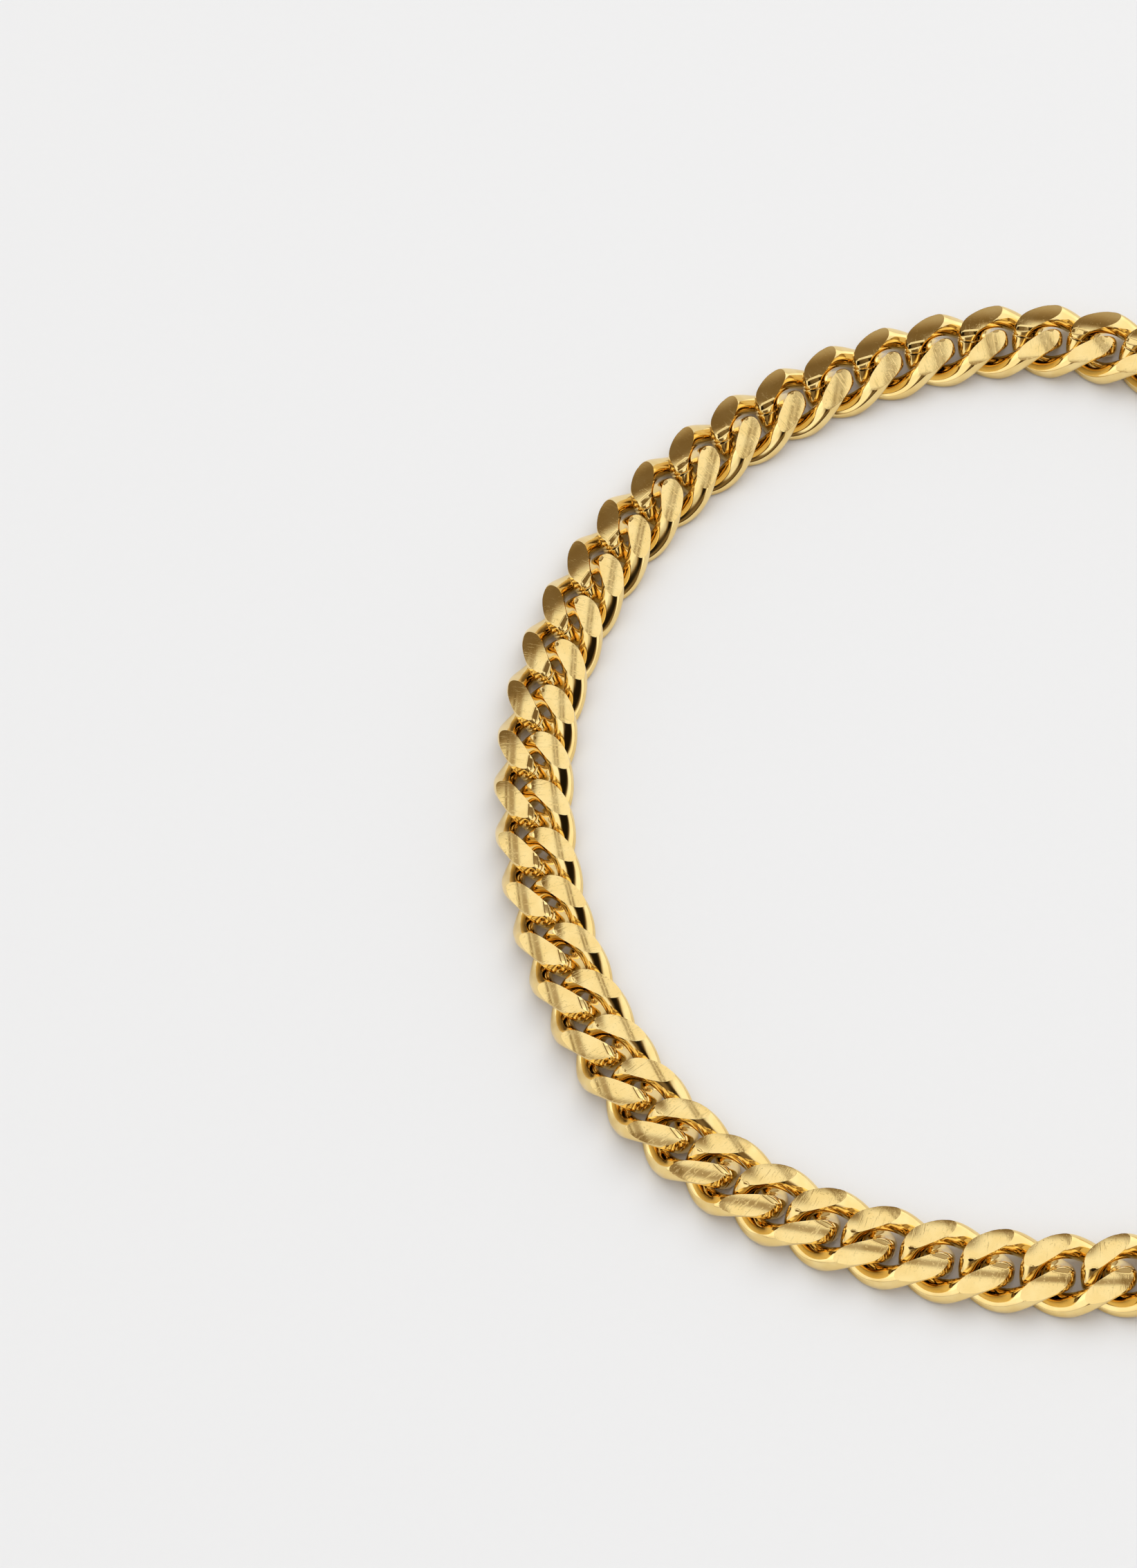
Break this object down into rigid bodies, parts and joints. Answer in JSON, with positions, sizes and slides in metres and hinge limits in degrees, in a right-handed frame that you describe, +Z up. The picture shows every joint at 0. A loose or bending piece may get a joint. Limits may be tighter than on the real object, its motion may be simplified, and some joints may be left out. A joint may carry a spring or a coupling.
{
  "type": "chain necklace",
  "caption": "Flat curb chain necklace of twisted oval links ground flat above and below, lying open in a loop, with a ring at one end and a sprung lobster clasp at the other.",
  "frame": {"origin": "middle of the whole necklace at rest, on the surface that it lies on", "axes": "+Z up from that surface; +X from the middle link across the loop to the open ends; +Y along the loop's longer way across, from the clasp side to the end-ring side"},
  "size_m": [0.1363, 0.1448, 0.0044],
  "materials": {
    "chain_gold": "polished gold plate with ground flat faces",
    "clasp_gold": "polished gold plate",
    "spring_steel": "bare spring steel"
  },
  "bodies": {
    "link_01": {"link_01": "chain_gold"},
    "link_02": {"link_02": "chain_gold"},
    "link_03": {"link_03": "chain_gold"},
    "link_04": {"link_04": "chain_gold"},
    "link_05": {"link_05": "chain_gold"},
    "link_06": {"link_06": "chain_gold"},
    "link_07": {"link_07": "chain_gold"},
    "link_08": {"link_08": "chain_gold"},
    "link_09": {"link_09": "chain_gold"},
    "link_10": {"link_10": "chain_gold"},
    "link_11": {"link_11": "chain_gold"},
    "link_12": {"link_12": "chain_gold"},
    "link_13": {"link_13": "chain_gold"},
    "link_14": {"link_14": "chain_gold"},
    "link_15": {"link_15": "chain_gold"},
    "link_16": {"link_16": "chain_gold"},
    "link_17": {"link_17": "chain_gold"},
    "link_18": {"link_18": "chain_gold"},
    "link_19": {"link_19": "chain_gold"},
    "link_20": {"link_20": "chain_gold"},
    "link_21": {"link_21": "chain_gold"},
    "link_22": {"link_22": "chain_gold"},
    "link_23": {"link_23": "chain_gold"},
    "link_24": {"link_24": "chain_gold"},
    "link_25": {"link_25": "chain_gold"},
    "link_26": {"link_26": "chain_gold"},
    "link_27": {"link_27": "chain_gold"},
    "link_28": {"link_28": "chain_gold"},
    "link_29": {"link_29": "chain_gold"},
    "link_30": {"link_30": "chain_gold"},
    "link_31": {"link_31": "chain_gold"},
    "link_32": {"link_32": "chain_gold"},
    "link_33": {"link_33": "chain_gold"},
    "link_34": {"link_34": "chain_gold"},
    "link_35": {"link_35": "chain_gold"},
    "link_36": {"link_36": "chain_gold"},
    "link_37": {"link_37": "chain_gold"},
    "link_38": {"link_38": "chain_gold"},
    "link_39": {"link_39": "chain_gold"},
    "link_40": {"link_40": "chain_gold"},
    "link_41": {"link_41": "chain_gold"},
    "link_42": {"link_42": "chain_gold"},
    "link_43": {"link_43": "chain_gold"},
    "link_44": {"link_44": "chain_gold"},
    "link_45": {"link_45": "chain_gold"},
    "link_46": {"link_46": "chain_gold"},
    "link_47": {"link_47": "chain_gold"},
    "link_48": {"link_48": "chain_gold"},
    "link_49": {"link_49": "chain_gold"},
    "link_50": {"link_50": "chain_gold"},
    "link_51": {"link_51": "chain_gold"},
    "link_52": {"link_52": "chain_gold"},
    "link_53": {"link_53": "chain_gold"},
    "link_54": {"link_54": "chain_gold"},
    "end_ring": {"end_ring": "clasp_gold"},
    "clasp_ring": {"clasp_ring": "clasp_gold"},
    "clasp": {"clasp_body": "clasp_gold", "clasp_pin": "clasp_gold", "clasp_spring": "spring_steel"},
    "clasp_lever": {"clasp_lever": "clasp_gold"}
  },
  "joints": [
    {"name": "bend_01_02", "type": "hinge", "parent": "link_02", "child": "link_01", "pos_m": [0.04821, 0.00902, 0.0022], "axis": [0, 0, 1], "range_deg": [-3.8, 18.2]},
    {"name": "bend_02_03", "type": "hinge", "parent": "link_03", "child": "link_02", "pos_m": [0.04845, 0.01601, 0.0022], "axis": [0, 0, 1], "range_deg": [-3.8, 18.2]},
    {"name": "bend_03_04", "type": "hinge", "parent": "link_04", "child": "link_03", "pos_m": [0.04782, 0.02298, 0.0022], "axis": [0, 0, 1], "range_deg": [-3.8, 18.2]},
    {"name": "bend_04_05", "type": "hinge", "parent": "link_05", "child": "link_04", "pos_m": [0.04632, 0.02982, 0.0022], "axis": [0, 0, 1], "range_deg": [-3.8, 18.2]},
    {"name": "bend_05_06", "type": "hinge", "parent": "link_06", "child": "link_05", "pos_m": [0.04397, 0.03641, 0.0022], "axis": [0, 0, 1], "range_deg": [-3.8, 18.2]},
    {"name": "bend_06_07", "type": "hinge", "parent": "link_07", "child": "link_06", "pos_m": [0.04081, 0.04266, 0.0022], "axis": [0, 0, 1], "range_deg": [-3.8, 18.2]},
    {"name": "bend_07_08", "type": "hinge", "parent": "link_08", "child": "link_07", "pos_m": [0.0369, 0.04847, 0.0022], "axis": [0, 0, 1], "range_deg": [-3.8, 18.2]},
    {"name": "bend_08_09", "type": "hinge", "parent": "link_09", "child": "link_08", "pos_m": [0.03229, 0.05373, 0.0022], "axis": [0, 0, 1], "range_deg": [-3.8, 18.2]},
    {"name": "bend_09_10", "type": "hinge", "parent": "link_10", "child": "link_09", "pos_m": [0.02705, 0.05838, 0.0022], "axis": [0, 0, 1], "range_deg": [-3.8, 18.2]},
    {"name": "bend_10_11", "type": "hinge", "parent": "link_11", "child": "link_10", "pos_m": [0.02128, 0.06233, 0.0022], "axis": [0, 0, 1], "range_deg": [-1.2, 20.8]},
    {"name": "bend_11_12", "type": "hinge", "parent": "link_12", "child": "link_11", "pos_m": [0.01491, 0.06525, 0.0022], "axis": [0, 0, 1], "range_deg": [-1.2, 20.8]},
    {"name": "bend_12_13", "type": "hinge", "parent": "link_13", "child": "link_12", "pos_m": [0.00814, 0.06704, 0.0022], "axis": [0, 0, 1], "range_deg": [-1.2, 20.8]},
    {"name": "bend_13_14", "type": "hinge", "parent": "link_14", "child": "link_13", "pos_m": [0.00117, 0.06765, 0.0022], "axis": [0, 0, 1], "range_deg": [-1.2, 20.8]},
    {"name": "bend_14_15", "type": "hinge", "parent": "link_15", "child": "link_14", "pos_m": [-0.0058, 0.06706, 0.0022], "axis": [0, 0, 1], "range_deg": [-5, 17]},
    {"name": "bend_15_16", "type": "hinge", "parent": "link_16", "child": "link_15", "pos_m": [-0.01268, 0.06575, 0.0022], "axis": [0, 0, 1], "range_deg": [-5, 17]},
    {"name": "bend_16_17", "type": "hinge", "parent": "link_17", "child": "link_16", "pos_m": [-0.01938, 0.06373, 0.0022], "axis": [0, 0, 1], "range_deg": [-5, 17]},
    {"name": "bend_17_18", "type": "hinge", "parent": "link_18", "child": "link_17", "pos_m": [-0.02584, 0.06101, 0.0022], "axis": [0, 0, 1], "range_deg": [-5, 17]},
    {"name": "bend_18_19", "type": "hinge", "parent": "link_19", "child": "link_18", "pos_m": [-0.03197, 0.05764, 0.0022], "axis": [0, 0, 1], "range_deg": [-5, 17]},
    {"name": "bend_19_20", "type": "hinge", "parent": "link_20", "child": "link_19", "pos_m": [-0.03772, 0.05365, 0.0022], "axis": [0, 0, 1], "range_deg": [-5, 17]},
    {"name": "bend_20_21", "type": "hinge", "parent": "link_21", "child": "link_20", "pos_m": [-0.04302, 0.04907, 0.0022], "axis": [0, 0, 1], "range_deg": [-4.9, 17.1]},
    {"name": "bend_21_22", "type": "hinge", "parent": "link_22", "child": "link_21", "pos_m": [-0.0478, 0.04396, 0.0022], "axis": [0, 0, 1], "range_deg": [-4.9, 17.1]},
    {"name": "bend_22_23", "type": "hinge", "parent": "link_23", "child": "link_22", "pos_m": [-0.05201, 0.03837, 0.0022], "axis": [0, 0, 1], "range_deg": [-4.9, 17.1]},
    {"name": "bend_23_24", "type": "hinge", "parent": "link_24", "child": "link_23", "pos_m": [-0.05561, 0.03236, 0.0022], "axis": [0, 0, 1], "range_deg": [-4.9, 17.1]},
    {"name": "bend_24_25", "type": "hinge", "parent": "link_25", "child": "link_24", "pos_m": [-0.05854, 0.02601, 0.0022], "axis": [0, 0, 1], "range_deg": [-4.9, 17.1]},
    {"name": "bend_25_26", "type": "hinge", "parent": "link_26", "child": "link_25", "pos_m": [-0.06079, 0.01938, 0.0022], "axis": [0, 0, 1], "range_deg": [-4.9, 17.1]},
    {"name": "bend_26_27", "type": "hinge", "parent": "link_27", "child": "link_26", "pos_m": [-0.06231, 0.01255, 0.0022], "axis": [0, 0, 1], "range_deg": [-4.9, 17.1]},
    {"name": "bend_27_28", "type": "hinge", "parent": "link_27", "child": "link_28", "pos_m": [-0.06311, 0.00559, 0.0022], "axis": [0, 0, 1], "range_deg": [-16, 6]},
    {"name": "bend_28_29", "type": "hinge", "parent": "link_28", "child": "link_29", "pos_m": [-0.06329, -0.0014, 0.0022], "axis": [0, 0, 1], "range_deg": [-16, 6]},
    {"name": "bend_29_30", "type": "hinge", "parent": "link_29", "child": "link_30", "pos_m": [-0.06286, -0.00839, 0.0022], "axis": [0, 0, 1], "range_deg": [-16, 6]},
    {"name": "bend_30_31", "type": "hinge", "parent": "link_30", "child": "link_31", "pos_m": [-0.06183, -0.01532, 0.0022], "axis": [0, 0, 1], "range_deg": [-16, 6]},
    {"name": "bend_31_32", "type": "hinge", "parent": "link_31", "child": "link_32", "pos_m": [-0.06019, -0.02212, 0.0022], "axis": [0, 0, 1], "range_deg": [-16, 6]},
    {"name": "bend_32_33", "type": "hinge", "parent": "link_32", "child": "link_33", "pos_m": [-0.05797, -0.02876, 0.0022], "axis": [0, 0, 1], "range_deg": [-16, 6]},
    {"name": "bend_33_34", "type": "hinge", "parent": "link_33", "child": "link_34", "pos_m": [-0.05518, -0.03518, 0.0022], "axis": [0, 0, 1], "range_deg": [-18.5, 3.5]},
    {"name": "bend_34_35", "type": "hinge", "parent": "link_34", "child": "link_35", "pos_m": [-0.05158, -0.04118, 0.0022], "axis": [0, 0, 1], "range_deg": [-18.5, 3.5]},
    {"name": "bend_35_36", "type": "hinge", "parent": "link_35", "child": "link_36", "pos_m": [-0.04722, -0.04666, 0.0022], "axis": [0, 0, 1], "range_deg": [-18.5, 3.5]},
    {"name": "bend_36_37", "type": "hinge", "parent": "link_36", "child": "link_37", "pos_m": [-0.04218, -0.05152, 0.0022], "axis": [0, 0, 1], "range_deg": [-18.5, 3.5]},
    {"name": "bend_37_38", "type": "hinge", "parent": "link_37", "child": "link_38", "pos_m": [-0.03656, -0.05568, 0.0022], "axis": [0, 0, 1], "range_deg": [-18.5, 3.5]},
    {"name": "bend_38_39", "type": "hinge", "parent": "link_38", "child": "link_39", "pos_m": [-0.03043, -0.05908, 0.0022], "axis": [0, 0, 1], "range_deg": [-16, 6]},
    {"name": "bend_39_40", "type": "hinge", "parent": "link_39", "child": "link_40", "pos_m": [-0.02404, -0.06193, 0.0022], "axis": [0, 0, 1], "range_deg": [-16, 6]},
    {"name": "bend_40_41", "type": "hinge", "parent": "link_40", "child": "link_41", "pos_m": [-0.01742, -0.0642, 0.0022], "axis": [0, 0, 1], "range_deg": [-16, 6]},
    {"name": "bend_41_42", "type": "hinge", "parent": "link_41", "child": "link_42", "pos_m": [-0.01063, -0.0659, 0.0022], "axis": [0, 0, 1], "range_deg": [-16, 6]},
    {"name": "bend_42_43", "type": "hinge", "parent": "link_42", "child": "link_43", "pos_m": [-0.00371, -0.06699, 0.0022], "axis": [0, 0, 1], "range_deg": [-16, 6]},
    {"name": "bend_43_44", "type": "hinge", "parent": "link_43", "child": "link_44", "pos_m": [0.00327, -0.06748, 0.0022], "axis": [0, 0, 1], "range_deg": [-16, 6]},
    {"name": "bend_44_45", "type": "hinge", "parent": "link_44", "child": "link_45", "pos_m": [0.01027, -0.06736, 0.0022], "axis": [0, 0, 1], "range_deg": [-16, 6]},
    {"name": "bend_45_46", "type": "hinge", "parent": "link_45", "child": "link_46", "pos_m": [0.01723, -0.06663, 0.0022], "axis": [0, 0, 1], "range_deg": [-18.6, 3.4]},
    {"name": "bend_46_47", "type": "hinge", "parent": "link_46", "child": "link_47", "pos_m": [0.02403, -0.06498, 0.0022], "axis": [0, 0, 1], "range_deg": [-18.6, 3.4]},
    {"name": "bend_47_48", "type": "hinge", "parent": "link_47", "child": "link_48", "pos_m": [0.03056, -0.06245, 0.0022], "axis": [0, 0, 1], "range_deg": [-18.6, 3.4]},
    {"name": "bend_48_49", "type": "hinge", "parent": "link_48", "child": "link_49", "pos_m": [0.03669, -0.05908, 0.0022], "axis": [0, 0, 1], "range_deg": [-18.6, 3.4]},
    {"name": "bend_49_50", "type": "hinge", "parent": "link_49", "child": "link_50", "pos_m": [0.04233, -0.05492, 0.0022], "axis": [0, 0, 1], "range_deg": [-18.6, 3.4]},
    {"name": "bend_50_51", "type": "hinge", "parent": "link_50", "child": "link_51", "pos_m": [0.04736, -0.05006, 0.0022], "axis": [0, 0, 1], "range_deg": [-18.6, 3.4]},
    {"name": "bend_51_52", "type": "hinge", "parent": "link_51", "child": "link_52", "pos_m": [0.05171, -0.04457, 0.0022], "axis": [0, 0, 1], "range_deg": [-18.6, 3.4]},
    {"name": "bend_52_53", "type": "hinge", "parent": "link_52", "child": "link_53", "pos_m": [0.0553, -0.03856, 0.0022], "axis": [0, 0, 1], "range_deg": [-18.6, 3.4]},
    {"name": "bend_53_54", "type": "hinge", "parent": "link_53", "child": "link_54", "pos_m": [0.05805, -0.03213, 0.0022], "axis": [0, 0, 1], "range_deg": [-18.6, 3.4]},
    {"name": "end_ring_swing", "type": "hinge", "parent": "link_01", "child": "end_ring", "pos_m": [0.04729, 0.00331, 0.0022], "axis": [0, 0, 1], "range_deg": [-14, 14]},
    {"name": "clasp_ring_swing", "type": "hinge", "parent": "link_54", "child": "clasp_ring", "pos_m": [0.05961, -0.02657, 0.0022], "axis": [0, 0, 1], "range_deg": [-14, 14]},
    {"name": "clasp_swing", "type": "hinge", "parent": "clasp_ring", "child": "clasp", "pos_m": [0.06138, -0.02021, 0.0022], "axis": [0, 0, 1], "range_deg": [-14, 14]},
    {"name": "lever_open", "type": "hinge", "parent": "clasp", "child": "clasp_lever", "pos_m": [0.06128, -0.01499, 0.0022], "axis": [0, 0, 1], "range_deg": [-18, 0], "stiffness_Nm_per_rad": 0.02, "springref_deg": 8.59}
  ]
}
